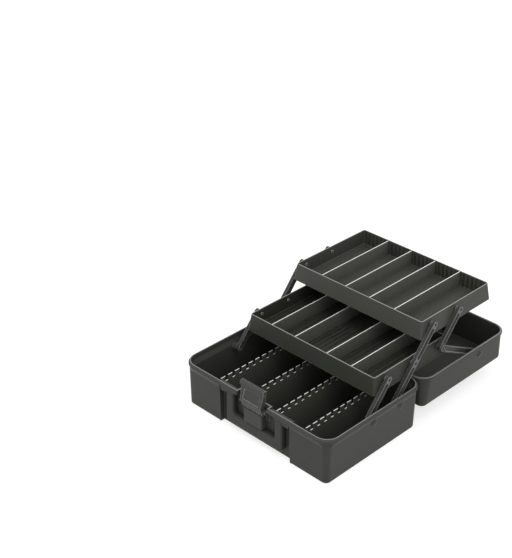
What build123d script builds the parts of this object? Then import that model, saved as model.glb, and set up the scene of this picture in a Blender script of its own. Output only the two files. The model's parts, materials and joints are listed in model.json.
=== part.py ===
"""Tackle box with two cantilever trays, shown open: deep base, lid laid back level, trays swung up and out.

Millimetres. X is the width, +Y runs from the front to the hinge, +Z is up. The origin is the middle of the
underside of the base. The lid is drawn in the numbers it has when shut and turned over about the hinge.
"""

import os
from math import cos, hypot, radians, sin, sqrt

from build123d import *

# Rim of the base and of the lid, and the line where they meet
HALF_W = 176.0
HALF_D = 123.0
CORNER_R = 25.0
BEAD = 4.6
PARTING_Z = 94.0
SEAM = 0.3
HINGE_Y = HALF_D + BEAD + 0.3
HINGE_Z = PARTING_Z

# Base: outlines up the wall as (height, offset from the rim rectangle, corner radius); the rim's corners are
# rounder than the walls'
FLOOR = 3.2
BASE_OUTSIDE = [(0, -3.4, 10.0), (75, -1.8, 12.0), (84, 2.0, 27.0), (87, 2.2, 27.2)]
BASE_INSIDE = [(FLOOR, -6.2, 7.2), (75, -4.6, 9.2), (84, 0.0, 25.0), (PARTING_Z + 1, 0.0, 25.0)]
BEAD_BOTTOM = 86.5
BEAD_TOP = 91.8
BEAD_ROUND = 1.8
TONGUE = 2.2
BASE_EDGE_R = 3.0

# Front recess for the handle, and the bay behind the latch
WALL = 2.6
RECESS_HALF = 87.0
RECESS_Y = -110.0
RECESS_TOP = 85.6
RECESS_WALL = 2.2
RECESS_SLOPE = -28.1
BASE_BAY_HALF = 37.0
LID_BAY_HALF = 41.0
BAY_Y = -117.0
FRONT = -(HALF_D + BEAD + 5)

# Lid: outlines in the same way, at the heights it has when shut
LID_TOP = 158.2
LID_BEAD_TOP = 99.4
LID_OUTSIDE = [(LID_BEAD_TOP - 0.5, 1.0, 22.0), (LID_TOP, -1.6, 11.0)]
LID_INSIDE = [(PARTING_Z, 0.0, 25.0), (LID_BEAD_TOP, -1.2, 19.5), (LID_TOP - 3.2, -4.0, 8.6)]
LID_EDGE_R = 6.5
PANEL_BORDER = 13.0
PANEL_SLOPE = 4.0
PANEL_SINK = 1.2

# Swing arms: base pivots, length of one step and lean when the box is open
PIVOT_FRONT = (-0.5, 70.3)
PIVOT_REAR = (71.3, 70.3)
ARM_STEP = 77.0
ARM_LEAN = 50.0
ARM_WIDTH = 12.0
ARM_INNER_X = 156.4
ARM_OUTER_X = 163.4
ARM_RIM = 1.8
ARM_POCKET = 2.8
REAR_STEP = 74.2
PIN_R = 1.9
RUN = 0.05
PIN_SINK = 3.0
PIN_MOUTH_R = 2.7
PIN_COLLAR = 4.5

# Link between the lid and the lower tray
LINK_IN_X = 164.3
LINK_THICK = 3.2
LINK_WIDTH = 12.5
LINK_LID = (171.6, -20.6)

# Wedge feet on the hinge wall of the lid
FOOT_X = 146.0
FOOT_HALF = 6.0

# Trays
TRAY_HALF_W = 151.6
TRAY_HALF_D = 98.9
TRAY_H = 34.0
TRAY_FLARE = 4.4
TRAY_WALL = 1.8
TRAY_FLOOR = 4.0
TRAY_CORNER = 5.0
TRAY_PIVOT_DROP = 11.2
LOWER_TRAY = (119.9, 140.4)
UPPER_TRAY = (243.8, 199.4)
DIVIDER = 1.5
DIVIDER_PITCH = 9.7
LOWER_DIVIDERS = (-10, -4, 4, 10)
UPPER_DIVIDERS = (-9, -3, 3, 9)

# Upright partitions in the base, with a comb of slots along the top edge
PARTITION_X = (-105.6, -35.2, 35.2, 105.6)
PARTITION_TOP = 75.0
PARTITION = 1.8
PARTITION_REAR = 115.8
SLOT_START = -106.8
SLOT_PITCH = 17.6
SLOT = 6.8
SLOT_DEPTH = 10.5
SLOT_COUNT = 13

# Hinge
HINGE_AT = (-112.0, 112.0)
KNUCKLE_R = 4.0
KNUCKLE = 20.0
KNUCKLE_GAP = 0.4
HINGE_PIN_R = 1.5

# Latch, standing at the angle at which it also holds the lid shut; profile points are (y, z)
LATCH_PIVOT = (-120.8, 78.0)
LATCH_TAIL = (-124.0, 69.6)
LATCH_RIDGE = (-130.5, 86.5)
LATCH_HEAD = (-124.4, 112.0)
LATCH_BACK_Y = -117.6
LATCH_PLATE = 3.0
LATCH_HALF = 24.4
LATCH_HEAD_HALF = 27.0
LATCH_HOLLOW_HALF = 21.9
LATCH_LIP = [(-124.4, 111.0), (-126.6, 114.6), (-126.2, 121.0), (-124.4, 122.6),
             (-117.8, 122.6), (-117.8, 116.3), (-121.4, 116.3), (-121.4, 111.0)]
LATCH_LIP_HALF = 28.5
LATCH_PANEL_SINK = 1.1
LATCH_BARREL_R = 3.3
LATCH_EAR = (25.2, 31.6)
LATCH_EAR_R = 4.4
LATCH_PIN_R = 1.5
LATCH_PAD_HALF = 22.5
LATCH_PAD_Y = -124.6
LATCH_PAD_Z = (37.0, 67.9)
CATCH_Z = (107.0, 115.5)
CATCH_OUT = 3.2

# Handle, hanging down in the recess
HANDLE_HALF = 69.0
HANDLE_LEG = 18.0
HANDLE_GRIP = 22.5
HANDLE_Z = 79.4
HANDLE_BOTTOM = 13.0
HANDLE_THICK = 11.6
HANDLE_BACK_Y = RECESS_Y - 0.6
HANDLE_Y = HANDLE_BACK_Y - HANDLE_THICK / 2
LUG = 14.0
LUG_GAP = 0.5
LUG_DROP = 6.5
LUG_REACH = 5.2
HANDLE_PIN = (HANDLE_HALF - HANDLE_LEG + 0.5, HANDLE_HALF + LUG_GAP + LUG - 3)

SIDES = {"left": -1, "right": 1}
BASE = Plane.XY
LID = Plane(origin=(0, 2 * HINGE_Y, 2 * HINGE_Z), x_dir=(1, 0, 0), z_dir=(0, 0, -1))


def along(start, step, lean):
    """Point reached from start by one straight step at a lean, in the side view."""
    return start[0] + step * cos(radians(lean)), start[1] + step * sin(radians(lean))


LOWER_FRONT = along(PIVOT_FRONT, ARM_STEP, ARM_LEAN)
LOWER_MID = along(PIVOT_REAR, ARM_STEP, ARM_LEAN)
LOWER_REAR = (LOWER_MID[0] + REAR_STEP, LOWER_MID[1])
UPPER_FRONT = along(PIVOT_REAR, 2 * ARM_STEP, ARM_LEAN)
UPPER_REAR = (UPPER_FRONT[0] + REAR_STEP, UPPER_FRONT[1])
LINK_PIVOT = (HINGE_Y + LINK_LID[0], HINGE_Z + LINK_LID[1])


def block(frame, x, y, z, mode=Mode.ADD):
    """Box between two values along each direction of a frame."""
    with BuildSketch(frame.offset(z[0])) as foot:
        with Locations(((x[0] + x[1]) / 2, (y[0] + y[1]) / 2)):
            Rectangle(x[1] - x[0], y[1] - y[0])
    extrude(foot.sketch, amount=z[1] - z[0], mode=mode)


def rod(side, x, at, radius, mode=Mode.ADD):
    """Round bar along the width, on the left (-1) or right (1) side, from x[0] out to x[1]."""
    with BuildSketch(Plane(origin=(side * x[0], at[0], at[1]), x_dir=(0, 1, 0), z_dir=(side, 0, 0))) as end:
        Circle(radius)
    extrude(end.sketch, amount=x[1] - x[0], mode=mode)


def profile(points, half, mode=Mode.ADD):
    """Prism along the width, equally far to both sides, on an outline given as (y, z) points."""
    with BuildSketch(Plane.YZ) as side_view:
        with BuildLine():
            Polyline(*points, close=True)
        make_face()
    extrude(side_view.sketch, amount=half, both=True, mode=mode)


def stack(frame, outline, mode=Mode.ADD):
    """Rounded rectangular body whose outline follows a list of (height, offset from the rim, corner radius).

    Where the radius is left out, the corner follows the rim's.
    """
    rings = []
    for height, out, *corner in outline:
        radius = corner[0] if corner else CORNER_R + out
        with BuildSketch(frame.offset(height)) as ring:
            RectangleRounded(2 * (HALF_W + out), 2 * (HALF_D + out), radius)
        rings.append(ring.sketch)
    for low, high in zip(rings, rings[1:]):
        loft([low, high], ruled=True, mode=mode)


def bead(frame, low, high, out):
    """Band round the outside of the rim with its two outer edges rounded off."""
    step = BEAD_ROUND / 3
    ends = [(0, BEAD_ROUND), (step, step), (BEAD_ROUND, 0)]
    rising = [(low + rise, out - back) for rise, back in ends]
    falling = [(high - rise, out - back) for rise, back in reversed(ends)]
    stack(frame, rising + falling)


def hinge_spans(owner):
    """The x spans of the knuckles of each hinge: the base has the outer two, the lid the middle one."""
    half = KNUCKLE / 2
    for middle in HINGE_AT:
        if owner == "lid":
            yield middle - half + KNUCKLE_GAP, middle + half - KNUCKLE_GAP
        else:
            yield middle - 3 * half, middle - half
            yield middle + half, middle + 3 * half


def hinge_side(owner, other):
    """Knuckles of one side of the hinge, with room cut for the other side's, and the bore for the pin."""
    axis = (HINGE_Y, HINGE_Z)
    for low, high in hinge_spans(other):
        rod(1, (low - KNUCKLE_GAP, high + KNUCKLE_GAP), axis, KNUCKLE_R + KNUCKLE_GAP, Mode.SUBTRACT)
    for low, high in hinge_spans(owner):
        rod(1, (low, high), axis, KNUCKLE_R)
    for middle in HINGE_AT:
        reach = 1.5 * KNUCKLE + 1
        rod(1, (middle - reach, middle + reach), axis, HINGE_PIN_R + RUN, Mode.SUBTRACT)


def recess_section():
    """Outlines as (y, z) of the wall behind the handle and of the room in front of it.

    The top corner is sloped off behind the handle's eyes, so that the wall stays low inside the rim.
    """
    inner_y = RECESS_Y + RECESS_WALL
    inner_slope = RECESS_SLOPE + RECESS_WALL * sqrt(2)
    top = RECESS_TOP + RECESS_WALL
    foot, lip = -HALF_D + 4, -HALF_D - 2
    inside = [(foot, 0), (inner_y, 0), (inner_y, inner_slope - inner_y), (inner_slope - top, top)]
    inside += [(lip, top), (lip, RECESS_TOP), (foot, RECESS_TOP)]
    outside = [(FRONT, -1), (RECESS_Y, -1), (RECESS_Y, RECESS_SLOPE - RECESS_Y)]
    outside += [(RECESS_SLOPE - RECESS_TOP, RECESS_TOP), (FRONT, RECESS_TOP)]
    return inside, outside


def handle_lug(side):
    """Round cornered lug under the recess's top that holds one handle pin."""
    low, high = HANDLE_Z - LUG_DROP, RECESS_TOP + 1
    across = sorted((side * (HANDLE_HALF + LUG_GAP), side * (HANDLE_HALF + LUG_GAP + LUG)))
    block(BASE, across, (HANDLE_Y - LUG_REACH, RECESS_SLOPE - high), (low, high))
    block(BASE, across, (HANDLE_Y - LUG_REACH, RECESS_Y + 1), (low, RECESS_SLOPE - RECESS_Y - 1))
    rod(side, (HANDLE_HALF, HANDLE_PIN[1] + 0.5), (HANDLE_Y, HANDLE_Z), PIN_R + RUN, Mode.SUBTRACT)


def bay(frame, half, low, high):
    """Set back part of the front wall that the latch lies in."""
    edge = half + WALL
    block(frame, (-edge, edge), (-HALF_D - 1, BAY_Y + WALL), (low, high))
    block(frame, (-half, half), (FRONT, BAY_Y), (low - 30, high + 30), Mode.SUBTRACT)


def make_base():
    """Deep tub with its rim bead, front recess, latch bay, handle lugs, arm bosses and hinge knuckles."""
    with BuildPart() as base:
        stack(BASE, BASE_OUTSIDE)
        fillet(base.edges().group_by(Axis.Z)[0], BASE_EDGE_R)
        bead(BASE, BEAD_BOTTOM - 1.5, BEAD_TOP, BEAD)
        stack(BASE, [(BEAD_TOP - 1, TONGUE), (PARTING_Z - SEAM / 2, TONGUE)])
        stack(BASE, BASE_INSIDE, Mode.SUBTRACT)
        back, front = recess_section()
        profile(back, RECESS_HALF + RECESS_WALL)
        profile(front, RECESS_HALF, Mode.SUBTRACT)
        bay(BASE, BASE_BAY_HALF, RECESS_TOP, PARTING_Z - SEAM / 2)
        for side in (-1, 1):
            handle_lug(side)
            for pivot in (PIVOT_FRONT, PIVOT_REAR):
                rod(side, (ARM_OUTER_X + 0.4, HALF_W - 4), pivot, 7.5)
                rod(side, (ARM_OUTER_X, HALF_W), pivot, PIN_R + RUN, Mode.SUBTRACT)
        hinge_side("base", "lid")
    return base


def make_lid():
    """Shallow lid with its rim bead, sunk top panel, latch bay, catch rib, link bosses and standing feet."""
    with BuildPart() as lid:
        stack(LID, LID_OUTSIDE)
        fillet(lid.edges().group_by(Axis.Z)[0], LID_EDGE_R)
        bead(LID, PARTING_Z + SEAM / 2, LID_BEAD_TOP, BEAD)
        stack(LID, LID_INSIDE, Mode.SUBTRACT)
        bay(LID, LID_BAY_HALF, PARTING_Z + SEAM / 2, LID_TOP)
        panel = [(LID_TOP, -PANEL_BORDER), (LID_TOP - PANEL_SINK, -PANEL_BORDER - PANEL_SLOPE)]
        stack(LID, panel, Mode.SUBTRACT)
        block(LID, (-20, 20), (BAY_Y - CATCH_OUT, BAY_Y + 1), CATCH_Z)
        for side in (-1, 1):
            rod(side, (LINK_IN_X + LINK_THICK + 0.6, HALF_W - 1), LINK_PIVOT, 7.5)
            rod(side, (LINK_IN_X, HALF_W + 2), LINK_PIVOT, PIN_R + RUN, Mode.SUBTRACT)
            standing_foot(LID, side, LID_TOP - 10)
        hinge_side("lid", "base")
    return lid


def standing_foot(frame, side, height):
    """Wedge on the hinge wall that the shut box stands on when it is set on its back."""
    reach = HALF_D + BEAD
    inner = HALF_D - 3.5
    corners = [(inner, height - 11), (reach, height - 3), (reach, height + 3), (inner, height + 3)]
    middle = Plane(origin=frame.from_local_coords((side * FOOT_X, 0, 0)), x_dir=frame.y_dir, z_dir=(1, 0, 0))
    with BuildSketch(middle) as wedge:
        with BuildLine():
            Polyline(*corners, close=True)
        make_face()
    extrude(wedge.sketch, amount=FOOT_HALF, both=True)


def make_partition(x, front):
    """Upright plate from front to back of the base with open slots along its top edge."""
    with BuildPart() as plate:
        half = PARTITION / 2
        block(BASE, (x - half, x + half), (front, PARTITION_REAR), (FLOOR + 0.05, PARTITION_TOP))
        for n in range(SLOT_COUNT):
            y = SLOT_START + n * SLOT_PITCH
            cut = (PARTITION_TOP - SLOT_DEPTH, PARTITION_TOP + 1)
            block(BASE, (x - 2, x + 2), (y, y + SLOT), cut, Mode.SUBTRACT)
    return plate


def make_tray(centre, top, pivots):
    """Open tray: a straight sided tub in a skirt that flares out towards the bottom, bored for its pins."""
    frame = Plane(origin=(0, centre, top - TRAY_H))
    tub_w, tub_d = 2 * TRAY_HALF_W, 2 * TRAY_HALF_D
    with BuildPart() as tray:
        for shrink, height, mode in ((0, TRAY_H, Mode.ADD), (TRAY_WALL, TRAY_H - 5, Mode.SUBTRACT)):
            for z in (0, height):
                grow = 2 * (TRAY_FLARE * (1 - z / TRAY_H) - shrink)
                with BuildSketch(frame.offset(z)):
                    RectangleRounded(tub_w + grow, tub_d + grow, TRAY_CORNER)
            loft(ruled=True, mode=mode)
        with BuildSketch(frame.offset(TRAY_FLOOR - TRAY_WALL)):
            RectangleRounded(tub_w - 0.4, tub_d - 0.4, TRAY_CORNER)
        extrude(amount=TRAY_H - TRAY_FLOOR + TRAY_WALL - 1)
        with BuildSketch(frame.offset(TRAY_FLOOR)):
            RectangleRounded(tub_w - 2 * TRAY_WALL, tub_d - 2 * TRAY_WALL, TRAY_CORNER - TRAY_WALL)
        extrude(amount=TRAY_H, mode=Mode.SUBTRACT)
        for side in (-1, 1):
            for pivot in pivots:
                rod(side, (TRAY_HALF_W - 4, TRAY_HALF_W + 6), pivot, PIN_R + RUN, Mode.SUBTRACT)
    return tray


def make_divider(x, centre, top):
    """Thin upright plate across a tray."""
    half, reach = DIVIDER / 2, TRAY_HALF_D - TRAY_WALL - 0.1
    with BuildPart() as divider:
        block(BASE, (x - half, x + half), (centre - reach, centre + reach),
              (top - TRAY_H + TRAY_FLOOR + 0.05, top - 0.6))
    return divider


def make_arm(side, foot, steps, on_wall):
    """Moulded swing arm from its lower pivot, with a pocket in the outer face between the pivots.

    Each pin stops short in a wider mouth: in the inner face at a foot on the base's wall, else in the outer.
    """
    length = steps * ARM_STEP
    lean = (0, cos(radians(ARM_LEAN)), sin(radians(ARM_LEAN)))
    frame = Plane(origin=(side * ARM_INNER_X, foot[0], foot[1]), x_dir=lean, z_dir=(side, 0, 0))
    thick = ARM_OUTER_X - ARM_INNER_X
    pocket = ARM_STEP - ARM_WIDTH - 3
    with BuildPart() as arm:
        with BuildSketch(frame):
            with Locations((length / 2, 0)):
                SlotCenterToCenter(length, ARM_WIDTH)
            with Locations([(n * ARM_STEP, 0) for n in range(steps + 1)]):
                Circle(PIN_R + RUN, mode=Mode.SUBTRACT)
        extrude(amount=thick)
        with BuildSketch(frame.offset(thick - ARM_POCKET)):
            with Locations([((n + 0.5) * ARM_STEP, 0) for n in range(steps)]):
                SlotOverall(pocket, ARM_WIDTH - 2 * ARM_RIM)
        extrude(amount=ARM_POCKET, mode=Mode.SUBTRACT)
        for n in range(steps + 1):
            from_inside = on_wall and n == 0
            with BuildSketch(frame.offset(0 if from_inside else thick - PIN_SINK)):
                with Locations((n * ARM_STEP, 0)):
                    Circle(PIN_MOUTH_R)
            extrude(amount=PIN_SINK, mode=Mode.SUBTRACT)
    return arm


def make_link(side):
    """Flat strap from the lid's side wall to the back pivot of the lower tray."""
    rise = LOWER_REAR[1] - LINK_PIVOT[1]
    run = LOWER_REAR[0] - LINK_PIVOT[0]
    length = hypot(run, rise)
    lean = (0, run / length, rise / length)
    frame = Plane(origin=(side * LINK_IN_X, LINK_PIVOT[0], LINK_PIVOT[1]), x_dir=lean, z_dir=(side, 0, 0))
    with BuildPart() as link:
        with BuildSketch(frame):
            with Locations((length / 2, 0)):
                SlotCenterToCenter(length, LINK_WIDTH)
            with Locations((0, 0), (length, 0)):
                Circle(PIN_R + RUN, mode=Mode.SUBTRACT)
        extrude(amount=LINK_THICK)
        with BuildSketch(frame.offset(LINK_THICK - 1.0)):
            with Locations((length / 2, 0)):
                SlotOverall(length - LINK_WIDTH - 3, LINK_WIDTH - 2 * ARM_RIM)
        extrude(amount=1.0, mode=Mode.SUBTRACT)
    return link


def make_tray_pins(at):
    """Pair of pins with a head inside the tray and a collar between the tray and its arm."""
    skirt = TRAY_FLARE * (TRAY_PIVOT_DROP + PIN_COLLAR) / TRAY_H
    with BuildPart() as pins:
        for side in (-1, 1):
            rod(side, (TRAY_HALF_W - TRAY_WALL - 1.2, ARM_OUTER_X - PIN_SINK), at, PIN_R)
            rod(side, (TRAY_HALF_W - TRAY_WALL - 1.2, TRAY_HALF_W - TRAY_WALL - 0.1), at, PIN_R + 1.2)
            rod(side, (TRAY_HALF_W + skirt + 0.1, ARM_INNER_X - 0.2), at, PIN_COLLAR)
    return pins


def make_wall_pins(at, wall_x, inner_x):
    """Pair of pins through a side wall, each with a domed head outside."""
    with BuildPart() as pins:
        for side in (-1, 1):
            rod(side, (inner_x, wall_x + 0.5), at, PIN_R)
            rod(side, (wall_x + 0.05, wall_x + 1.7), at, 4.2)
        ends = pins.edges().group_by(Axis.X)
        fillet(ends[0] + ends[-1], 1.2)
    return pins


def make_handle():
    """Bail handle: a square cornered grip on two legs that turn on pins in the recess."""
    frame = Plane(origin=(0, HANDLE_BACK_Y, 0), x_dir=(1, 0, 0), z_dir=(0, -1, 0))
    inner = HANDLE_HALF - HANDLE_LEG
    with BuildPart() as handle:
        with BuildSketch(frame):
            with Locations((0, (HANDLE_Z + HANDLE_BOTTOM) / 2)):
                outline = Rectangle(2 * HANDLE_HALF, HANDLE_Z - HANDLE_BOTTOM)
            fillet(outline.vertices().group_by(Axis.Y)[0], 8)
            hand = (HANDLE_BOTTOM + HANDLE_GRIP, HANDLE_Z + 20)
            with Locations((0, sum(hand) / 2)):
                opening = Rectangle(2 * inner, hand[1] - hand[0], mode=Mode.SUBTRACT)
        extrude(amount=HANDLE_THICK)
        low_inside = handle.edges().filter_by(Axis.Y).filter_by(
            lambda e: abs(abs(e.center().X) - inner) < 0.1 and abs(e.center().Z - hand[0]) < 0.1)
        fillet(low_inside, 5)
        faces = handle.faces().filter_by(Axis.Y)
        fillet(faces.edges(), 3.4)
        for side in (-1, 1):
            rod(side, (inner, HANDLE_HALF), (HANDLE_Y, HANDLE_Z), HANDLE_THICK / 2)
            rod(side, (inner - 1, HANDLE_HALF + 1), (HANDLE_Y, HANDLE_Z), PIN_R + RUN, Mode.SUBTRACT)
    return handle


def make_handle_pins():
    """Two short pins, each through one leg and into its lug."""
    with BuildPart() as pins:
        for side in (-1, 1):
            rod(side, HANDLE_PIN, (HANDLE_Y, HANDLE_Z), PIN_R)
    return pins


def make_latch_mount():
    """Raised pad on the recess wall and, above it, two ears that carry the latch pin."""
    back = RECESS_Y - 0.02
    y, z = LATCH_PIVOT
    low, top = z - LATCH_EAR_R, RECESS_SLOPE - back - 0.05
    with BuildPart() as mount:
        block(BASE, (-LATCH_PAD_HALF, LATCH_PAD_HALF), (LATCH_PAD_Y, back), LATCH_PAD_Z)
        fillet(mount.edges().filter_by(Axis.Y), 3)
        fillet(mount.faces().sort_by(Axis.Y)[0].edges(), 2)
        block(BASE, (-LATCH_EAR[1], LATCH_EAR[1]), (back - 1.8, back), (LATCH_PAD_Z[1] - 12, top))
        for side in (-1, 1):
            block(BASE, sorted((side * LATCH_EAR[0], side * LATCH_EAR[1])), (y, back), (low, top))
            rod(side, LATCH_EAR, LATCH_PIVOT, LATCH_EAR_R)
            rod(side, (LATCH_EAR[0] - 1, LATCH_EAR[1] + 1), LATCH_PIVOT, LATCH_PIN_R + RUN, Mode.SUBTRACT)
    return mount


def sunk_panel(low, high, half, share):
    """Shallow rectangular recess in the latch's face between two profile points, over a share of its rise."""
    rise = (high[0] - low[0], high[1] - low[1])
    length = hypot(*rise)
    middle = [low[n] + rise[n] * sum(share) / 2 for n in (0, 1)]
    face = Plane(origin=(0, *middle), x_dir=(1, 0, 0), z_dir=(0, -rise[1], rise[0]))
    with BuildSketch(face.offset(-LATCH_PANEL_SINK)) as panel:
        RectangleRounded(2 * half, (share[1] - share[0]) * length, 1.5)
    extrude(panel.sketch, amount=LATCH_PANEL_SINK + 1, mode=Mode.SUBTRACT)


def make_latch():
    """Plate bent along a ridge, with flanges, two sunk panels, a hooked lip and a barrel for the pin."""
    tail, ridge, head = LATCH_TAIL, LATCH_RIDGE, LATCH_HEAD
    inner_tail, inner_ridge, inner_head = [(y + LATCH_PLATE, z) for y, z in (tail, ridge, head)]
    behind = [(LATCH_BACK_Y, head[1]), (LATCH_BACK_Y, LATCH_PIVOT[1] - 2), inner_tail]
    with BuildPart() as latch:
        profile([tail, ridge, head, *behind], LATCH_HEAD_HALF)
        with BuildSketch(Plane.XZ) as front_view:
            for low, high, wide_low, wide_high in ((tail[1], ridge[1], LATCH_HALF, LATCH_HALF),
                                                   (ridge[1], head[1], LATCH_HALF, LATCH_HEAD_HALF)):
                with BuildLine():
                    corners = [(-wide_low, low), (wide_low, low), (wide_high, high), (-wide_high, high)]
                    Polyline(*corners, close=True)
                make_face()
        extrude(front_view.sketch, amount=-FRONT, mode=Mode.INTERSECT)
        hollow = [inner_ridge, inner_head, (0, head[1]), (0, tail[1] - 1), inner_tail]
        profile(hollow, LATCH_HOLLOW_HALF, Mode.SUBTRACT)
        profile(LATCH_LIP, LATCH_LIP_HALF)
        outer = latch.edges().filter_by(Axis.X).group_by(Axis.Z)[-1]
        fillet(outer, 1.2)
        sunk_panel(tail, ridge, 18, (0.1, 0.5))
        sunk_panel(ridge, head, 19, (0.1, 0.86))
        y, z = LATCH_PIVOT
        block(BASE, (-LATCH_HOLLOW_HALF - 1, LATCH_HOLLOW_HALF + 1), (y - 4, y), (z - 2, z + 2))
        rod(1, (-LATCH_HOLLOW_HALF - 1, LATCH_HOLLOW_HALF + 1), LATCH_PIVOT, LATCH_BARREL_R)
        rod(1, (-LATCH_HEAD_HALF, LATCH_HEAD_HALF), LATCH_PIVOT, LATCH_PIN_R + RUN, Mode.SUBTRACT)
    return latch


def make_long_pins(places, at, radius):
    """Plain round pins lying along the width, one for each x span."""
    with BuildPart() as pins:
        for low, high in places:
            rod(1, (low, high), at, radius)
    return pins


def all_pieces():
    """Every piece of the box by the name of its file."""
    yield "base_shell", make_base()
    yield "lid_shell", make_lid()
    for number, x in enumerate(PARTITION_X, 1):
        front = RECESS_Y + RECESS_WALL + 0.6 if abs(x) < RECESS_HALF else -PARTITION_REAR
        yield f"base_partition_{number}", make_partition(x, front)
    lower_pivots = (LOWER_FRONT, LOWER_MID, LOWER_REAR)
    upper_pivots = (UPPER_FRONT, UPPER_REAR)
    yield "lower_tray", make_tray(*LOWER_TRAY, lower_pivots)
    yield "upper_tray", make_tray(*UPPER_TRAY, upper_pivots)
    for number, place in enumerate(LOWER_DIVIDERS, 1):
        yield f"lower_divider_{number}", make_divider(place * DIVIDER_PITCH, *LOWER_TRAY)
    for number, place in enumerate(UPPER_DIVIDERS, 1):
        yield f"upper_divider_{number}", make_divider(place * DIVIDER_PITCH, *UPPER_TRAY)
    for name, side in SIDES.items():
        yield f"front_arm_{name}", make_arm(side, PIVOT_FRONT, 1, True)
        yield f"long_arm_{name}", make_arm(side, PIVOT_REAR, 2, True)
        yield f"rear_arm_{name}", make_arm(side, LOWER_REAR, 1, False)
        yield f"lid_link_{name}", make_link(side)
    tray_pins = ("lower_front", "lower_mid", "lower_rear", "upper_front", "upper_rear")
    for name, at in zip(tray_pins, lower_pivots + upper_pivots):
        yield f"{name}_pins", make_tray_pins(at)
    yield "base_front_pins", make_wall_pins(PIVOT_FRONT, HALF_W - 1.78, ARM_INNER_X + PIN_SINK)
    yield "base_rear_pins", make_wall_pins(PIVOT_REAR, HALF_W - 1.78, ARM_INNER_X + PIN_SINK)
    yield "lid_link_pins", make_wall_pins(LINK_PIVOT, HALF_W + 0.5, LINK_IN_X + 0.4)
    yield "handle", make_handle()
    yield "handle_pins", make_handle_pins()
    yield "latch_mount", make_latch_mount()
    yield "latch", make_latch()
    ear = LATCH_EAR[1] - 1.5
    yield "latch_pin", make_long_pins([(-ear, ear)], LATCH_PIVOT, LATCH_PIN_R)
    reach = 1.5 * KNUCKLE
    hinge = [(middle - reach, middle + reach) for middle in HINGE_AT]
    yield "hinge_pins", make_long_pins(hinge, (HINGE_Y, HINGE_Z), HINGE_PIN_R)


os.makedirs("parts", exist_ok=True)
for node, piece in all_pieces():
    piece.part.label = node
    export_step(piece.part, f"parts/{node}.step")
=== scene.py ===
"""Open tackle box: finishes, fine moulded detail, stage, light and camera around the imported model.

Metres. X is the width, +Y runs from the handle to the hinge and +Z is up. The origin is the middle of the underside
of the base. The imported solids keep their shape. Rails, ribs and collars are laid on them here, and every surface gets
its finish.
"""

import json
import logging
from collections.abc import Iterable, Mapping, Sequence
from dataclasses import dataclass
from enum import Enum
from typing import Any

import bmesh
import bpy
from mathutils import Matrix, Vector

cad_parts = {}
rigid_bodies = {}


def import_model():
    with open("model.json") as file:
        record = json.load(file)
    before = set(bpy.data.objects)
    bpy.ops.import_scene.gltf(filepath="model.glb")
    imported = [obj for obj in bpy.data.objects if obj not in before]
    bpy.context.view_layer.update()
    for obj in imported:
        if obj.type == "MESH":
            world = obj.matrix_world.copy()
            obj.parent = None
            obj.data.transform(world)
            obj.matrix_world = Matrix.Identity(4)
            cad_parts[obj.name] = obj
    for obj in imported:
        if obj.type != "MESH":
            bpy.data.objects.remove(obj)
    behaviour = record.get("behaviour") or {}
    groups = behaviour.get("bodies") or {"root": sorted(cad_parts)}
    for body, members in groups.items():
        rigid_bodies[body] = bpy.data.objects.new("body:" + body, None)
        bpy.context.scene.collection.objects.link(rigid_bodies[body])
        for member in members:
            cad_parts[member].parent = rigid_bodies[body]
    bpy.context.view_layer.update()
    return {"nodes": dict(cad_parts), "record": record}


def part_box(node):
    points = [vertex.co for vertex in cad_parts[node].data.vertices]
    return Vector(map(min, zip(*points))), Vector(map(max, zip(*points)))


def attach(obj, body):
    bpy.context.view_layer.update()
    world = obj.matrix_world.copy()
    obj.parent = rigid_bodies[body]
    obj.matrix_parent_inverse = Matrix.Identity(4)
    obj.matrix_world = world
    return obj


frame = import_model()

log = logging.getLogger("tackle_box")
MM = 0.001
RIM_TOP = 93.4 * MM
SLOT_PITCH = 9.7 * MM
RIB_TAPER = 0.5
NOISE_MEAN = 0.5

Colour = tuple[float, float, float]
Place = tuple[float, float, float]
Span = tuple[float, float]


class Slot(Enum):
    """Material slots of the record."""

    SHELL = "shell"
    TRAY = "tray"


class Axis(Enum):
    """Directions in which a shape can lie, and the direction in which it then stands out from its wall."""

    FLOOR_ALONG_Y = ((0, 1, 0), (0, 0, 1))
    UP_FACING_FRONT = ((0, 0, 1), (0, -1, 0))
    UP_FACING_BACK = ((0, 0, 1), (0, 1, 0))
    UP_FACING_RIGHT = ((0, 0, 1), (1, 0, 0))
    UP_FACING_LEFT = ((0, 0, 1), (-1, 0, 0))

    def turn(self) -> Place:
        """Work out how a shape drawn along X and standing up along Z is turned into this direction.

        Returns:
            Its Euler angles.
        """
        along, out = (Vector(v) for v in self.value)
        across = out.cross(along)
        return tuple(Matrix((along, across, out)).transposed().to_euler())


# Node trees


class Term:
    """Number on a node socket. Arithmetic on it adds Math nodes to its sheet."""

    def __init__(self, sheet: "NodeSheet", socket: bpy.types.NodeSocket) -> None:
        """Wrap a socket of a sheet."""
        self.sheet = sheet
        self.socket = socket

    def __add__(self, other: "Term | float") -> "Term":
        """Sum."""
        return self.sheet.math("ADD", self, other)

    def __sub__(self, other: "Term | float") -> "Term":
        """Difference."""
        return self.sheet.math("SUBTRACT", self, other)

    def __rsub__(self, other: float) -> "Term":
        """Difference with the number on the left."""
        return self.sheet.math("SUBTRACT", other, self)

    def __mul__(self, other: "Term | float") -> "Term":
        """Product."""
        return self.sheet.math("MULTIPLY", self, other)

    __radd__ = __add__
    __rmul__ = __mul__

    def ramp(self, low: float, high: float) -> "Term":
        """Smooth rise from 0 at low to 1 at high.

        Args:
            low: Value at which the rise starts.
            high: Value at which it ends.

        Returns:
            The risen value, from 0 to 1.
        """
        made = self.sheet.node(
            "ShaderNodeMapRange",
            {"interpolation_type": "SMOOTHSTEP"},
            {"Value": self, "From Min": low, "From Max": high},
        )
        return Term(self.sheet, made.outputs[0])


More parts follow.
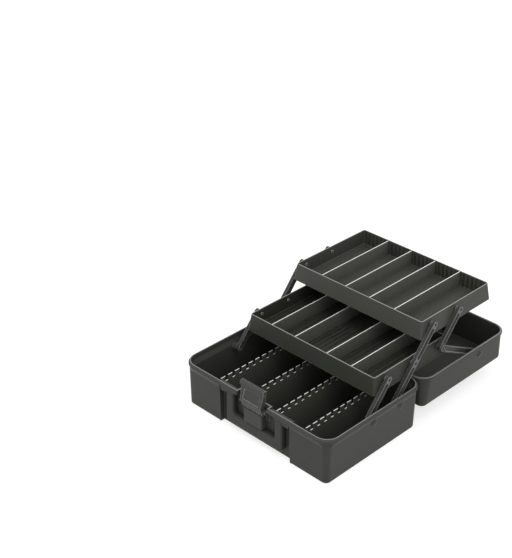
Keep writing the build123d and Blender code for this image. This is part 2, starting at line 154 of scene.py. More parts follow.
Input = Term | bpy.types.NodeSocket | float | int | Sequence[float] | bpy.types.Material


class NodeSheet:
    """Node tree under construction."""

    def __init__(self, tree: bpy.types.NodeTree) -> None:
        """Start on a tree, with whatever it holds taken out."""
        self.tree = tree
        tree.nodes.clear()

    def node(
        self,
        kind: str,
        settings: Mapping[str, Any] | None = None,
        sockets: Mapping[str | int, Input] | None = None,
    ) -> bpy.types.Node:
        """Add one node.

        Args:
            kind: Blender's name for the type of node.
            settings: Settings of the node, made before its sockets are filled.
            sockets: Value or link of each input, by name or by number.

        Returns:
            The new node.
        """
        made = self.tree.nodes.new(kind)
        for name, value in (settings or {}).items():
            setattr(made, name, value)
        for key, value in (sockets or {}).items():
            socket = made.inputs[key] if isinstance(key, int) else self.open_input(made, key)
            source = value.socket if isinstance(value, Term) else value
            if isinstance(source, bpy.types.NodeSocket):
                self.tree.links.new(source, socket)
            else:
                socket.default_value = source
        return made

    @staticmethod
    def open_input(node: bpy.types.Node, name: str) -> bpy.types.NodeSocket:
        """First input of that name that the node's settings leave in use."""
        return next(s for s in node.inputs if s.name == name and not s.is_unavailable)

    def math(self, operation: str, *terms: Term | float) -> Term:
        """Result of one Math node on the given terms."""
        made = self.node("ShaderNodeMath", {"operation": operation}, dict(enumerate(terms)))
        return Term(self, made.outputs[0])

    def noise(self, place: bpy.types.NodeSocket, size: float, detail: float = 2.0) -> Term:
        """Soft random pattern.

        Args:
            place: Coordinates that the pattern is read at.
            size: Size of its patches in metres.
            detail: How many finer layers it has.

        Returns:
            A value about NOISE_MEAN on average.
        """
        made = self.node("ShaderNodeTexNoise", {}, {"Vector": place, "Scale": 1 / size, "Detail": detail})
        return Term(self, made.outputs["Fac"])

    def rounded(self, radius: float, samples: int) -> bpy.types.NodeSocket:
        """Normal of the surface as if its edges were rounded to the radius."""
        return self.node("ShaderNodeBevel", {"samples": samples}, {"Radius": radius}).outputs["Normal"]

    def part(self, vector: bpy.types.NodeSocket, axis: str) -> Term:
        """One component of a vector, by the name of its axis."""
        return Term(self, self.node("ShaderNodeSeparateXYZ", {}, {"Vector": vector}).outputs[axis])

    def mix(self, factor: Input, low: Input, high: Input) -> bpy.types.NodeSocket:
        """Colour between two colours."""
        made = self.node("ShaderNodeMix", {"data_type": "RGBA"}, {"Factor": factor, "A": low, "B": high})
        return next(s for s in made.outputs if not s.is_unavailable)


def new_material(name: str) -> tuple[bpy.types.Material, NodeSheet]:
    """Make an empty material.

    Args:
        name: Name of the material.

    Returns:
        The material and the sheet that its nodes go on.
    """
    material = bpy.data.materials.new(name)
    material.use_nodes = True
    return material, NodeSheet(material.node_tree)


def solid(colour: Colour) -> tuple[float, float, float, float]:
    """Colour with full alpha, as sockets take it."""
    return (*colour, 1.0)


# Finishes


class Facing(Enum):
    """Axes along which the faces of a crest can look."""

    SIDEWAYS = "X"
    UP = "Z"


@dataclass(frozen=True)
class Plastic:
    """Moulded plastic: eroded grain, drift of tone, rub marks, edge wear, and painted highlights on edges and crests.

    Attributes:
        name: Name of the material.
        colour: Colour of the plastic where nothing has rubbed it.
        roughness: Its roughness there.
        pale: Colour of rub marks and of edges, which is wear and a painted highlight.
        rubbed_and_highlit: How far the edges go to the pale colour, as wear and a painted highlight.
        marks: How far the rub marks do.
        edge: Radius to which edges look rounded.
        reach: How far the wear and the painted edge highlight reach from an edge.
        crest: How far a crest, such as a rim, goes to the crest's colour, a painted highlight. 0 is no crest.
        crest_axis: Axis along which the crest's faces look.
        crest_from: Place on that axis where the crest starts.
        crest_highlight_colour: Colour of the painted highlight on a crest.
        gloss: Level of the mirror-like reflection.
        refraction: Index of refraction.
        grain: Size of the grain.
        grain_depth: Depth of the grain.
        grain_shade: Share by which the shade changes from grain to grain.
        grain_roughness: How far the roughness does.
        drift: Share by which the shade drifts up and down over wide patches.
        drift_size: Size of those patches.
        drift_roughness: How far the roughness drifts.
        crest_blur: Distance over which a crest begins.
        crest_facing: How far a face looks along the crest's axis, where the crest begins and where it is full.
        wear_and_highlight_turn: How far the rounded normal turns at an edge, where wear and highlight begin and are
            full.
        wear_and_highlight_size: Size of the patches in which an edge has more or less wear and highlight.
        wear_and_highlight_least: Wear and painted highlight where the pattern of those patches is 0.
        wear_and_highlight_spread: How much more of it there is where the pattern is 1.
        mark_roughness: How much rougher the rub marks are.
        mark_depth: How far they stand out, against the grain's depth.
        streak_turn: Turn of the streaks that make the rub marks.
        streak_stretch: Scale along each axis that draws the streaks out.
        streak_size: Width of a streak.
        streak_span: Where in its pattern a streak begins and is full.
        patch_size: Size of the patches that have streaks.
        patch_span: Where in its pattern such a patch begins and is full.
    """

    name: str
    colour: Colour
    roughness: float
    pale: Colour = (0.20, 0.20, 0.19)
    rubbed_and_highlit: float = 0.35
    marks: float = 0.25
    edge: float = 0.8 * MM
    reach: float = 1.5 * MM
    crest: float = 0.0
    crest_axis: Facing = Facing.UP
    crest_from: float = -1.0
    crest_highlight_colour: Colour = (0.90, 0.90, 0.86)
    gloss: float = 0.14
    refraction: float = 1.49
    grain: float = 0.7 * MM
    grain_depth: float = 0.03 * MM
    grain_shade: float = 0.10
    grain_roughness: float = 0.08
    drift: float = 0.10
    drift_size: float = 45 * MM
    drift_roughness: float = 0.10
    crest_blur: float = 0.1 * MM
    crest_facing: Span = (0.5, 0.9)
    wear_and_highlight_turn: Span = (0.03, 0.15)
    wear_and_highlight_size: float = 6 * MM
    wear_and_highlight_least: float = 0.6
    wear_and_highlight_spread: float = 0.8
    mark_roughness: float = 0.08
    mark_depth: float = 0.6
    streak_turn: Place = (0.3, 0.2, 0.5)
    streak_stretch: Place = (1.0, 0.06, 1.0)
    streak_size: float = 1.6 * MM
    streak_span: Span = (0.63, 0.75)
    patch_size: float = 30 * MM
    patch_span: Span = (0.45, 0.65)

    def material(self) -> bpy.types.Material:
        """Build the node material of this finish.

        Returns:
            The material.
        """
        material, sheet = new_material(self.name)
        coordinates = sheet.node("ShaderNodeTexCoord")
        place = coordinates.outputs["Object"]

        drift = sheet.noise(place, self.drift_size, detail=4.0) - NOISE_MEAN
        grain = sheet.noise(place, self.grain, detail=1.0)
        marks = self.rub_marks(sheet, place)
        edges = self.rubbed_and_highlit_edges(sheet, place)

        # Edges and rub marks go to the pale colour: wear, and on the edges a painted highlight too.
        worn_and_highlit = sheet.math("MINIMUM", edges * self.rubbed_and_highlit + marks * self.marks, 1.0)
        shade = 1 + drift * (2 * self.drift) + (grain - NOISE_MEAN) * self.grain_shade
        body = sheet.node("ShaderNodeVectorMath", {"operation": "SCALE"}, {0: self.colour, "Scale": shade}).outputs[0]
        colour = sheet.mix(worn_and_highlit, body, solid(self.pale))
        # Crests go to the crest colour: a painted highlight.
        if self.crest:
            crest_highlight = self.painted_highlight_mask(sheet, place, coordinates.outputs["Normal"])
            colour = sheet.mix(crest_highlight * self.crest, colour, solid(self.crest_highlight_colour))
        rough = (
            self.roughness
            + drift * self.drift_roughness
            + (grain - NOISE_MEAN) * self.grain_roughness
            + marks * self.mark_roughness
        )
        rounded = sheet.rounded(self.edge, samples=6)
        bump = sheet.node(
            "ShaderNodeBump",
            {},
            {"Distance": self.grain_depth, "Height": grain + marks * self.mark_depth, "Normal": rounded},
        )
        shader = sheet.node(
            "ShaderNodeBsdfPrincipled",
            {},
            {
                "Base Color": colour,
                "Roughness": rough,
                "IOR": self.refraction,
                "Specular IOR Level": self.gloss,
                "Normal": bump.outputs["Normal"],
            },
        )
        sheet.node("ShaderNodeOutputMaterial", {}, {"Surface": shader.outputs[0]})
        log.info("finish %s", self.name)
        return material

    def rubbed_and_highlit_edges(self, sheet: NodeSheet, place: bpy.types.NodeSocket) -> Term:
        """Find the edges, where a widely rounded normal turns away from the face, for wear and a painted highlight.

        Args:
            sheet: Sheet of the material.
            place: Coordinates on the piece.

        Returns:
            About 1 on the edges, in patches, and 0 elsewhere.
        """
        wide = sheet.rounded(self.reach, samples=8)
        flat = sheet.node("ShaderNodeNewGeometry").outputs["True Normal"]
        facing = sheet.node("ShaderNodeVectorMath", {"operation": "DOT_PRODUCT"}, {0: wide, 1: flat})
        away = 1 - Term(sheet, facing.outputs["Value"])
        patches = self.wear_and_highlight_least + sheet.noise(place, self.wear_and_highlight_size, detail=3.0) * self.wear_and_highlight_spread
        return away.ramp(*self.wear_and_highlight_turn) * patches

    def painted_highlight_mask(self, sheet: NodeSheet, place: bpy.types.NodeSocket, normal: bpy.types.NodeSocket) -> Term:
        """Find the faces that look along the crest axis, beyond where the crest starts, for a painted highlight.

        Args:
            sheet: Sheet of the material.
            place: Coordinates on the piece.
            normal: Direction that the surface faces, in the same coordinates.

        Returns:
            1 on the crest and 0 elsewhere. A crest that faces sideways is on both sides of the middle.
        """
        height, facing = (sheet.part(vector, self.crest_axis.value) for vector in (place, normal))
        if self.crest_axis is Facing.SIDEWAYS:
            height, facing = sheet.math("ABSOLUTE", height), sheet.math("ABSOLUTE", facing)
        return facing.ramp(*self.crest_facing) * height.ramp(self.crest_from, self.crest_from + self.crest_blur)

    def rub_marks(self, sheet: NodeSheet, place: bpy.types.NodeSocket) -> Term:
        """Draw sparse thin streaks, as things drawn along the plastic leave them.

        Args:
            sheet: Sheet of the material.
            place: Coordinates on the piece.

        Returns:
            1 in the streaks and 0 elsewhere.
        """
        stretched = sheet.node(
            "ShaderNodeMapping",
            {},
            {"Vector": place, "Rotation": self.streak_turn, "Scale": self.streak_stretch},
        ).outputs[0]
        streaks = sheet.noise(stretched, self.streak_size).ramp(*self.streak_span)
        return streaks * sheet.noise(place, self.patch_size).ramp(*self.patch_span)


@dataclass(frozen=True)
class Steel:
    """Drawn steel wire: fine lengthwise lines and a slight drift of gloss.

    Attributes:
        name: Name of the material.
        colour: Colour of the clean steel.
        roughness: Its roughness.
        stain_colour: Colour of stained steel.
        stain_size: Size of the stains.
        stain_span: Where in its pattern a stain begins and is full.
        stained: How far the stains go to their colour.
        stain_roughness: How much rougher they are.
        line_stretch: Scale along each axis that draws the lines out along the wire.
        line_size: Width of a line.
        line_depth: Depth of a line.
        line_roughness: How far the roughness changes from line to line.
    """

    name: str
    colour: Colour = (0.45, 0.45, 0.44)
    roughness: float = 0.32
    stain_colour: Colour = (0.22, 0.20, 0.18)
    stain_size: float = 8 * MM
    stain_span: Span = (0.4, 0.8)
    stained: float = 0.3
    stain_roughness: float = 0.1
    line_stretch: Place = (0.02, 1.0, 1.0)
    line_size: float = 0.15 * MM
    line_depth: float = 0.01 * MM
    line_roughness: float = 0.15

    def material(self) -> bpy.types.Material:
        """Build the node material of this finish.

        Returns:
            The material.
        """
        material, sheet = new_material(self.name)
        place = sheet.node("ShaderNodeTexCoord").outputs["Object"]
        drawn = sheet.node("ShaderNodeMapping", {}, {"Vector": place, "Scale": self.line_stretch}).outputs[0]
        lines = sheet.noise(drawn, self.line_size)
        stains = sheet.noise(place, self.stain_size, detail=3.0)
        stained = stains.ramp(*self.stain_span) * self.stained
        bump = sheet.node("ShaderNodeBump", {}, {"Distance": self.line_depth, "Height": lines})
        shader = sheet.node(
            "ShaderNodeBsdfPrincipled",
            {},
            {
                "Base Color": sheet.mix(stained, solid(self.colour), solid(self.stain_colour)),
                "Metallic": 1.0,
                "Roughness": (
                    self.roughness + (lines - NOISE_MEAN) * self.line_roughness + stains * self.stain_roughness
                ),
                "Normal": bump.outputs["Normal"],
            },
        )
        sheet.node("ShaderNodeOutputMaterial", {}, {"Surface": shader.outputs[0]})
        log.info("finish %s", self.name)
        return material


def shell_plastic(name: str, colour: Colour) -> Plastic:
    """Finish of a shell, with a painted highlight on the crest of its rim."""
    return Plastic(
        name, colour, roughness=0.40, rubbed_and_highlit=0.6, crest=0.9, crest_from=RIM_TOP, crest_highlight_colour=(0.20, 0.20, 0.19)
    )


# Repeated bars and rings


@dataclass(frozen=True)
class Row:
    """Row of equal small shapes, laid from the first place on and turned alike. Without a count it is one shape.

    Attributes:
        first: Place of the first shape.
        lie: Direction in which each shape lies.
        sizes: Sizes of the shape, by the names of its tree's inputs.
        step: From one shape to the next.
        count: How many shapes there are.
    """

    first: Place
    lie: Axis
    sizes: Mapping[str, float]
    step: Place = (0.0, 0.0, 0.0)
    count: int = 1


class RowTree:
    """Geometry Nodes tree that lays a row of one small shape. What the shape is, is up to the kinds of tree below."""

    NAME = "row"
    SIZES: Sequence[str] = ()

    def __init__(self) -> None:
        """Build the tree."""
        self.tree = bpy.data.node_groups.new(self.NAME, "GeometryNodeTree")
        kinds = {"First": "Vector", "Step": "Vector", "Count": "Int", "Turn": "Vector", "Finish": "Material"}
        kinds |= dict.fromkeys(self.SIZES, "Float")
        self.ids: dict[str, str] = {}
        for name, kind in kinds.items():
            made = self.tree.interface.new_socket(name, in_out="INPUT", socket_type=f"NodeSocket{kind}")
            self.ids[name] = made.identifier
        self.tree.interface.new_socket("Geometry", in_out="OUTPUT", socket_type="NodeSocketGeometry")
        sheet = NodeSheet(self.tree)
        given = sheet.node("NodeGroupInput").outputs
        points = sheet.node(
            "GeometryNodeMeshLine",
            {"mode": "OFFSET"},
            {"Count": given["Count"], "Start Location": given["First"], "Offset": given["Step"]},
        ).outputs[0]
        turn = sheet.node("FunctionNodeEulerToRotation", {}, {"Euler": given["Turn"]}).outputs[0]
        laid = sheet.node(
            "GeometryNodeInstanceOnPoints",
            {},
            {"Points": points, "Instance": self.shape(sheet, given), "Rotation": turn},
        ).outputs[0]
        real = sheet.node("GeometryNodeRealizeInstances", {}, {"Geometry": laid}).outputs[0]
        dressed = sheet.node("GeometryNodeSetMaterial", {}, {"Geometry": real, "Material": given["Finish"]})
        sheet.node("NodeGroupOutput", {}, {"Geometry": dressed.outputs[0]})

    def shape(self, sheet: NodeSheet, given: Mapping[str, bpy.types.NodeSocket]) -> bpy.types.NodeSocket:
        """Geometry of one member of the row, from the tree's inputs."""
        raise NotImplementedError

    def lay(self, name: str, rows: Iterable[Row], finish: bpy.types.Material) -> bpy.types.Object:
        """Lay rows as one piece.

        Args:
            name: Name of the piece.
            rows: The rows.
            finish: Material of the piece.

        Returns:
            A plain mesh object at the origin.
        """
        whole = bmesh.new()
        for row in rows:
            part = self.evaluate(row, finish)
            whole.from_mesh(part)
            bpy.data.meshes.remove(part)
        mesh = bpy.data.meshes.new(name)
        bmesh.ops.recalc_face_normals(whole, faces=whole.faces)
        whole.to_mesh(mesh)
        whole.free()
        mesh.materials.append(finish)
        piece = bpy.data.objects.new(name, mesh)
        bpy.context.scene.collection.objects.link(piece)
        return piece

    def evaluate(self, row: Row, finish: bpy.types.Material) -> bpy.types.Mesh:
        """Run the tree for one row.

        Args:
            row: The row.
            finish: Material of its faces.

        Returns:
            The row as a plain mesh.
        """
        holder = bpy.data.objects.new("row", bpy.data.meshes.new("row"))
        bpy.context.scene.collection.objects.link(holder)
        modifier = holder.modifiers.new("row", "NODES")
        modifier.node_group = self.tree
        values = {"First": row.first, "Step": row.step, "Count": row.count, "Turn": row.lie.turn(), "Finish": finish}
        for name, value in (values | dict(row.sizes)).items():
            modifier[self.ids[name]] = value
        holder.update_tag()
        graph = bpy.context.evaluated_depsgraph_get()
        mesh = bpy.data.meshes.new_from_object(holder.evaluated_get(graph))
        bpy.data.objects.remove(holder)
        return mesh


class BarTree(RowTree):
    """Straight bars with a narrower crest than foot."""

    NAME = "bars_on_a_line"
    SIZES = ("Length", "Foot", "Crest", "Height")

    def shape(self, sheet: NodeSheet, given: Mapping[str, bpy.types.NodeSocket]) -> bpy.types.NodeSocket:
        """Draw the bar's trapezoid section along a straight line.

        Args:
            sheet: Sheet of the tree.
            given: The tree's inputs.

        Returns:
            Geometry of one bar, which starts at the origin and stands on it.
        """
        half_height = Term(sheet, given["Height"]) * 0.5
        end = sheet.node("ShaderNodeCombineXYZ", {}, {"X": given["Length"]}).outputs[0]
        spine = sheet.node("GeometryNodeCurvePrimitiveLine", {}, {"End": end}).outputs[0]
        spine = sheet.node("GeometryNodeSetCurveNormal", {"mode": "Z_UP"}, {"Curve": spine}).outputs[0]
        section = sheet.node(
            "GeometryNodeCurvePrimitiveQuadrilateral",
            {"mode": "TRAPEZOID"},
            {"Height": given["Height"], "Bottom Width": given["Foot"], "Top Width": given["Crest"], "Offset": 0.0},
        ).outputs[0]
        lift = sheet.node("ShaderNodeCombineXYZ", {}, {"Y": half_height}).outputs[0]
        section = sheet.node("GeometryNodeTransform", {}, {"Geometry": section, "Translation": lift}).outputs[0]
        bar = {"Curve": spine, "Profile Curve": section, "Fill Caps": True}
        return sheet.node("GeometryNodeCurveToMesh", {}, bar).outputs[0]

    @staticmethod
    def sizes(length: float, foot: float, taper: float, height: float) -> dict[str, float]:
        """Sizes of a bar whose crest is a share, the taper, of its foot."""
        return {"Length": length, "Foot": foot, "Crest": taper * foot, "Height": height}


class RingTree(RowTree):
    """Raised rings, as moulded round a rivet or a pivot."""

    NAME = "rings_on_a_line"
    SIZES = ("Radius", "Width", "Height")
    CORNERS = 40
    TAPER = 0.5

    def shape(self, sheet: NodeSheet, given: Mapping[str, bpy.types.NodeSocket]) -> bpy.types.NodeSocket:
        """Sweep the ring's trapezoid section round a circle.

        Args:
            sheet: Sheet of the tree.
            given: The tree's inputs.

        Returns:
            Geometry of one ring, centred on the origin.
        """
        round_it = {"Resolution": self.CORNERS, "Radius": given["Radius"]}
        circle = sheet.node("GeometryNodeCurvePrimitiveCircle", {}, round_it).outputs[0]
        circle = sheet.node("GeometryNodeSetCurveNormal", {"mode": "Z_UP"}, {"Curve": circle}).outputs[0]
        section = sheet.node(
            "GeometryNodeCurvePrimitiveQuadrilateral",
            {"mode": "TRAPEZOID"},
            {
                "Height": given["Height"],
                "Bottom Width": given["Width"],
                "Top Width": Term(sheet, given["Width"]) * self.TAPER,
                "Offset": 0.0,
            },
        ).outputs[0]
        return sheet.node("GeometryNodeCurveToMesh", {}, {"Curve": circle, "Profile Curve": section}).outputs[0]


def settle(piece: bpy.types.Object, body: str) -> None:
    """Put a finished piece on its body and log it.

    Args:
        piece: The piece, with its place in its mesh.
        body: Name of the CAD body that carries it.
    """
    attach(piece, body)
    log.info("piece %s on %s: %d faces", piece.name, body, len(piece.data.polygons))


def dress(nodes: Iterable[str], finish: bpy.types.Material) -> None:
    """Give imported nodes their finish.

    Args:
        nodes: Names of the nodes.
        finish: The material.
    """
    for name in nodes:
        materials = frame["nodes"][name].data.materials
        materials.clear()
        materials.append(finish)
        log.info("node %s wears %s", name, finish.name)


def members(body: str, word: str) -> list[str]:
    """Nodes of a body whose names hold the word, in the record's order."""
    return [name for name in frame["record"]["behaviour"]["bodies"][body] if word in name]


# Sub-assemblies


@dataclass
class Tray:
    """One divided tray: its tub, its dividers, rails on the long walls and ribs on the floor.

    Attributes:
        body: Name of the body, which is the tub's name too.
        bars: Tree that lays the rails and the ribs.
        colour: Colour of the tub.
        plate_colour: Colour of the dividers.
        highlit_rail_colour: Colour of the rails and the ribs, lighter than the tub as a painted highlight.
        wall: Thickness of the tub's walls.
        flare: How far the skirt stands out beyond the walls.
        floor: Height of the floor over the skirt's lower edge.
        pitch: Distance from slot to slot.
        slots_each_way: Slots to each side of the middle one.
        rail: Width of a rail or rib at its foot.
        rail_taper: Width of a rail's crest, as a share of its foot.
        rail_out: How far a rail stands out from the wall.
        rail_gap: Half the distance between the two rails of a slot.
        rail_top: How far the rails end under the rim.
        rib_height: Height of a rib over the floor.
        rim_crest: How far the painted highlight of the rim reaches down.
        rail_crest: How far it does on the rails.
        plate_crest: How far it does on the dividers.
    """

    body: str
    bars: BarTree
    colour: Colour
    plate_colour: Colour
    highlit_rail_colour: Colour
    wall: float = 1.8 * MM
    flare: float = 4.4 * MM
    floor: float = 4.0 * MM
    pitch: float = SLOT_PITCH
    slots_each_way: int = 15
    rail: float = 1.0 * MM
    rail_taper: float = 0.7
    rail_out: float = 1.3 * MM
    rail_gap: float = 1.35 * MM
    rail_top: float = 1.2 * MM
    rib_height: float = 0.9 * MM
    rim_crest: float = 0.3 * MM
    rail_crest: float = 1.4 * MM
    plate_crest: float = 2 * MM

    def build(self) -> None:
        """Lay the rails and ribs and dress the tray's nodes."""
        tub, plates, rails = self.finishes()
        piece = self.bars.lay(f"{self.body}_divider_rails", self.rows(), rails.material())
        settle(piece, self.body)
        dress([self.body], tub.material())
        dress(members(self.body, "divider"), plates.material())

    def finishes(self) -> tuple[Plastic, Plastic, Plastic]:
        """Choose the finishes, which all have a painted highlight at the rim.

        Returns:
            The finishes of the tub, the dividers and the rails.
        """
        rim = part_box(self.body)[1].z
        tub = Plastic(
            f"{self.body}_plastic",
            self.colour,
            roughness=0.42,
            pale=(0.28, 0.28, 0.26),
            rubbed_and_highlit=0.7,
            crest=0.8,
            crest_from=rim - self.rim_crest,
            crest_highlight_colour=(0.33, 0.33, 0.31),
        )
        # Divider crests and edges are painted near white: a painted highlight.
        plates = Plastic(
            f"{self.body}_divider_plastic",
            self.plate_colour,
            roughness=0.40,
            pale=(0.69, 0.69, 0.66),
            edge=0.6 * MM,
            crest=1.0,
            crest_from=rim - self.plate_crest,
        )
        # Rail crests are painted light: a painted highlight.
        rails = Plastic(
            f"{self.body}_rail_plastic",
            self.highlit_rail_colour,
            roughness=0.40,
            pale=(0.28, 0.28, 0.26),
            rubbed_and_highlit=0.5,
            reach=0.5 * MM,
            crest=0.8,
            crest_from=rim - self.rail_crest,
            crest_highlight_colour=(0.50, 0.50, 0.48),
        )
        return tub, plates, rails

    def rows(self) -> list[Row]:
        """Place the rails of both long walls and the ribs of the floor, in pairs that leave the slots between them.

        Returns:
            The rows.
        """
        low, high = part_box(self.body)
        front, back = low.y + self.flare + self.wall, high.y - self.flare - self.wall
        ground = low.z + self.floor
        start = -self.slots_each_way * self.pitch
        upright = self.bars.sizes(high.z - self.rail_top - ground, self.rail, self.rail_taper, self.rail_out)
        lying = self.bars.sizes(back - front - 2 * self.rail_out, self.rail, RIB_TAPER, self.rib_height)
        kinds = (
            (back, Axis.UP_FACING_FRONT, upright),
            (front, Axis.UP_FACING_BACK, upright),
            (front + self.rail_out, Axis.FLOOR_ALONG_Y, lying),
        )
        step, count = (self.pitch, 0, 0), 2 * self.slots_each_way + 1
        return [
            Row((start + side * self.rail_gap, y, ground), lie, sizes, step, count)
            for side in (-1, 1)
            for y, lie, sizes in kinds
        ]


@dataclass
class Base:
    """Deep base: shell, partitions with their combs, and ribs on the floor of its bays.

    Attributes:
        bars: Tree that lays the ribs.
        colour: Colour of the shell.
        plate_colour: Colour of the partitions, lighter than the shell as painted light in the bays.
        highlit_rib_colour: Colour of the ribs, lighter than the floor as a painted highlight.
        floor: Height of the floor.
        pitch: Distance from rib to rib.
        rib: Width of a rib at its foot.
        rib_height: Height of a rib over the floor.
        end_gap: From the shell's end to the edge of the floor.
        outer_front_gap: From an outer partition's front to the ribs of the end bays.
        inner_front_gap: From an inner partition's front to the ribs between partitions.
        back_gap: From the ribs to the partitions' rear.
        side_gap: Width of a bay, in all, that no rib comes into.
    """

    bars: BarTree
    colour: Colour = (0.051, 0.053, 0.046)
    plate_colour: Colour = (0.078, 0.079, 0.066)
    highlit_rib_colour: Colour = (0.113, 0.114, 0.100)
    floor: float = 3.2 * MM
    pitch: float = SLOT_PITCH
    rib: float = 1.0 * MM
    rib_height: float = 0.8 * MM
    end_gap: float = 17 * MM
    outer_front_gap: float = 5 * MM
    inner_front_gap: float = 3 * MM
    back_gap: float = 6 * MM
    side_gap: float = 4 * MM

    def build(self) -> None:
        """Lay the floor ribs and dress the shell and the partitions."""
        shell = shell_plastic("base_shell_plastic", self.colour)
        # Partition crests go near white: a painted highlight.
        plates = Plastic(
            "partition_plastic", self.plate_colour, roughness=0.42, edge=0.5 * MM, reach=0.6 * MM, crest=0.75
        )
        ribs = Plastic("floor_rib_plastic", self.highlit_rib_colour, roughness=0.42, rubbed_and_highlit=0.5, reach=0.4 * MM)
        partitions = members("base", "base_partition")
        dress(["base_shell"], shell.material())
        dress(partitions, plates.material())
        piece = self.bars.lay("base_floor_ribs", self.rows(partitions), ribs.material())
        settle(piece, "base")

    def rows(self, partitions: Sequence[str]) -> list[Row]:
        """Place the ribs of each bay, centred between its walls.

        Args:
            partitions: Names of the partitions from left to right, so that the first is an outer one.

        Returns:
            One row for each bay.
        """
        plates = [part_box(name) for name in partitions]
        middles = [(low.x + high.x) / 2 for low, high in plates]
        outer_front = plates[0][0].y + self.outer_front_gap
        inner_front = plates[1][0].y + self.inner_front_gap
        back = plates[0][1].y - self.back_gap
        low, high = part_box("base_shell")
        end = high.x - self.end_gap
        fronts = [outer_front, *[inner_front] * (len(plates) - 1), outer_front]
        rows = []
        for left, right, front in zip([-end, *middles], [*middles, end], fronts):
            count = int((right - left - self.side_gap) / self.pitch)
            margin = (right - left - (count - 1) * self.pitch) / 2
            sizes = self.bars.sizes(back - front, self.rib, RIB_TAPER, self.rib_height)
            place = (left + margin, front, low.z + self.floor)
            rows.append(Row(place, Axis.FLOOR_ALONG_Y, sizes, (self.pitch, 0, 0), count))
        return rows


@dataclass
class Collars:
    """Raised rings moulded round the rivets in the side walls of the base and the lid.

    Attributes:
        rings: Tree that lays the rings.
        colour: Colour of the rings.
        radius: Radius of a ring's middle line.
        width: Width of a ring at its foot.
        height: Height of a ring, half of it sunk in the wall.
        head: How far a rivet's head stands out from the wall.
    """

    rings: RingTree
    colour: Colour = (0.054, 0.055, 0.049)
    radius: float = 5.4 * MM
    width: float = 1.8 * MM
    height: float = 1.6 * MM
    head: float = 1.7 * MM

    def build(self) -> None:
        """Lay the rings on both bodies."""
        plastic = Plastic(
            "collar_plastic", self.colour, roughness=0.36, pale=(0.18, 0.18, 0.16), rubbed_and_highlit=0.6, reach=0.8 * MM
        )
        finish = plastic.material()
        for body, nodes in (("base", ["base_front_pins", "base_rear_pins"]), ("lid", ["lid_link_pins"])):
            piece = self.rings.lay(f"{body}_rivet_collars", self.rows(nodes), finish)
            settle(piece, body)

    def rows(self, nodes: Iterable[str]) -> list[Row]:
        """Place one ring round each rivet.

        Args:
            nodes: Names of the rivets' nodes, each a pair that mirrors over the width.

        Returns:
            One row for each ring.
        """
        sizes = {"Radius": self.radius, "Width": self.width, "Height": self.height}
        rows = []
        for low, high in map(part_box, nodes):
            middle = (low + high) / 2
            wall = high.x - self.head
            for side, lie in ((-1, Axis.UP_FACING_LEFT), (1, Axis.UP_FACING_RIGHT)):
                rows.append(Row((side * wall, middle.y, middle.z), lie, sizes))
        return rows


@dataclass
class Fittings:
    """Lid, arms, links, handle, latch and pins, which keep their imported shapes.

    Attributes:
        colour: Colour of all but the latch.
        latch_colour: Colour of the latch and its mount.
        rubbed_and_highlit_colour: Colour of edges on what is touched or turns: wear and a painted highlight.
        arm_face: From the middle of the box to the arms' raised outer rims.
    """

    colour: Colour = (0.045, 0.046, 0.040)
    latch_colour: Colour = (0.058, 0.059, 0.053)
    rubbed_and_highlit_colour: Colour = (0.43, 0.43, 0.41)
    arm_face: float = 163.2 * MM

    def build(self) -> None:
        """Dress the nodes."""
        nodes = frame["nodes"]
        dress(["lid_shell"], shell_plastic("lid_shell_plastic", self.colour).material())
        self.dress_arms([n for n in nodes if "_arm_" in n])
        # Pale edges of the links, the latch and the pins are wear and a painted highlight.
        links = Plastic("link_plastic", self.colour, roughness=0.36, pale=self.rubbed_and_highlit_colour, rubbed_and_highlit=0.9)
        dress(["lid_link_left", "lid_link_right"], links.material())
        grip = Plastic("handle_plastic", self.colour, roughness=0.38, rubbed_and_highlit=0.6)
        dress(["handle"], grip.material())
        latch = Plastic(
            "latch_plastic", self.latch_colour, roughness=0.38, pale=(0.43, 0.43, 0.40), rubbed_and_highlit=0.9, reach=1.2 * MM
        )
        dress(["latch", "latch_mount"], latch.material())
        dress(["hinge_pins", "latch_pin"], Steel("steel_pin").material())
        self.dress_pins([n for n in nodes if n.endswith("_pins") and n != "hinge_pins"])

    def dress_arms(self, arms: Iterable[str]) -> None:
        """Give the arms their finish, with a painted highlight on the raised rims of their outer faces.

        Args:
            arms: Names of the arms' nodes.
        """
        plastic = Plastic(
            "arm_plastic",
            self.colour,
            roughness=0.36,
            pale=self.rubbed_and_highlit_colour,
            rubbed_and_highlit=0.6,
            crest=0.7,
            crest_axis=Facing.SIDEWAYS,
            crest_from=self.arm_face,
            crest_highlight_colour=(0.19, 0.19, 0.18),
        )
        dress(arms, plastic.material())

    def dress_pins(self, pins: Sequence[str]) -> None:
        """Give the moulded pins their finish, with a painted highlight over the heads that show inside the trays.

        Args:
            pins: Names of the pins' nodes.
        """
        shown = [n for n in pins if n.startswith(("lower", "upper"))]
        # The heads inside the trays go pale all over: a painted highlight.
        heads = Plastic(
            "tray_pin_plastic", self.colour, roughness=0.34, pale=(0.50, 0.50, 0.48), rubbed_and_highlit=1.0, reach=2.5 * MM
        )
        plain = Plastic("pin_plastic", self.colour, roughness=0.34, pale=self.rubbed_and_highlit_colour, rubbed_and_highlit=0.9)
        dress(shown, heads.material())
        dress([n for n in pins if n not in shown], plain.material())


# Stage


@dataclass(frozen=True)
class Lamp:
    """Square soft lamp that faces a point."""

    name: str
    place: Place
    power: float
    aim: Place = (0.0, 0.0, 0.1)
    size: float = 1.2

    def build(self) -> None:
        """Make the lamp."""
        light = bpy.data.lights.new(self.name, "AREA")
        light.size = self.size
        light.energy = self.power
        lamp = bpy.data.objects.new(self.name, light)
        lamp.location = self.place
        lamp.rotation_euler = (Vector(self.aim) - Vector(self.place)).to_track_quat("-Z", "Y").to_euler()
        bpy.context.scene.collection.objects.link(lamp)


